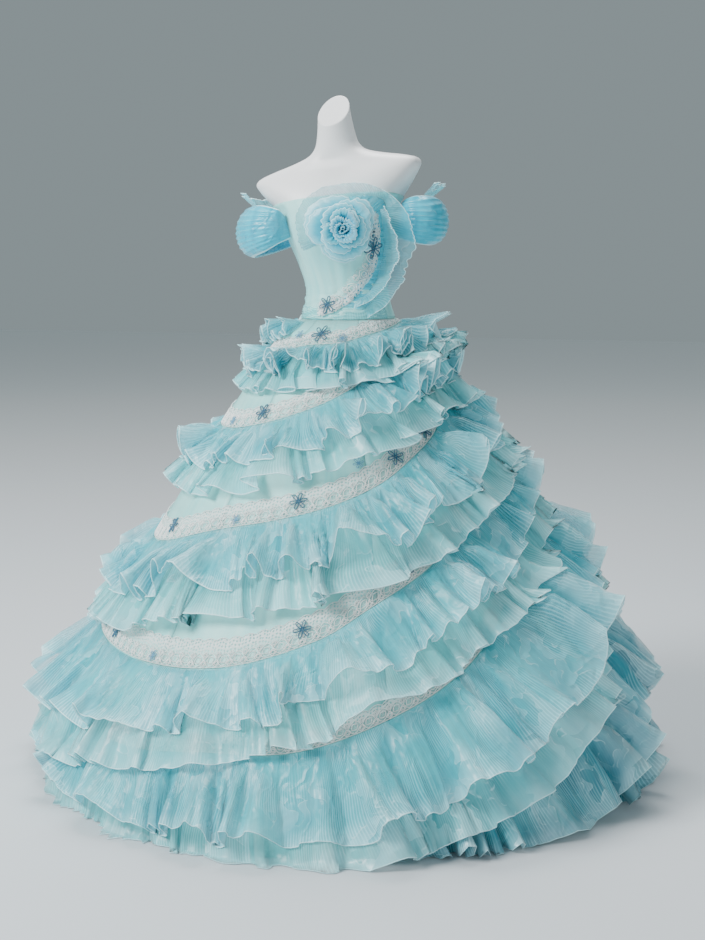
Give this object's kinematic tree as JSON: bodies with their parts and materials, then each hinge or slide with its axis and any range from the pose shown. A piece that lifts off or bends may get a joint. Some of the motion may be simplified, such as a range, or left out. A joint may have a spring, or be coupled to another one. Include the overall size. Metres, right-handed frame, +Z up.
{
  "type": "ball gown on a dress form",
  "caption": "Off-shoulder ball gown with tilted organza ruffle tiers, lace bands and a fabric rose, on a limbless dress form.",
  "frame": {"origin": "middle of the flat underside of the stand's base, on the floor, under the dress form's pole", "axes": "+Z up, -Y towards the front of the gown, +X towards the gown's left side"},
  "size_m": [1.5079, 1.5752, 1.5462],
  "materials": {
    "form_shell": "smooth white moulded shell with a soft satin sheen",
    "stand_metal": "plain brushed steel pole and base",
    "satin": "pale mint satin base cloth of bodice and skirt",
    "organza": "aqua crystal organza with fine ribs and a bright narrow hem",
    "organza_pale": "pale aqua organza under-layers and collar",
    "organza_deep": "saturated aqua organza, gathered in layers",
    "lace": "white corded flower lace with a scalloped edge",
    "applique": "blue embroidered flowers"
  },
  "bodies": {
    "root": {"form_torso": "form_shell", "form_pole": "stand_metal", "form_base": "stand_metal", "bodice_front": "satin", "bodice_back_left": "satin", "bodice_back_right": "satin", "skirt_gore_1": "satin", "skirt_gore_2": "satin", "skirt_gore_3": "satin", "skirt_gore_4": "satin", "skirt_gore_5": "satin", "skirt_gore_6": "satin", "skirt_gore_7": "satin", "skirt_gore_8": "satin", "lace_1": "lace", "lace_2": "lace", "lace_3": "lace", "lace_4": "lace", "lace_5": "lace", "flower_1": "applique", "flower_2": "applique", "flower_3": "applique", "flower_4": "applique", "flower_5": "applique", "flower_6": "applique", "flower_7": "applique", "flower_8": "applique", "flower_9": "applique", "flower_10": "applique", "flower_11": "applique", "flower_12": "applique", "bodice_flower_1": "applique", "bodice_flower_2": "applique", "sweep": "organza", "train": "organza", "tier_5_under": "organza_pale", "tier_5_upper": "organza", "tier_4_under": "organza_pale", "tier_4_upper": "organza", "tier_3_under": "organza_pale", "tier_3_upper": "organza", "tier_2_under": "organza_pale", "tier_2_upper": "organza", "tier_1_under": "organza_pale", "tier_1_upper": "organza", "peplum": "organza", "collar_outer": "organza_pale", "collar_middle": "organza_pale", "bodice_lace": "lace", "rose_outer": "organza", "rose_inner": "organza_deep", "rose_core": "organza_deep", "sleeve_left": "organza_deep", "sleeve_right": "organza_deep", "sleeve_frill_left": "organza_pale", "sleeve_frill_right": "organza_pale"}
  },
  "joints": []
}
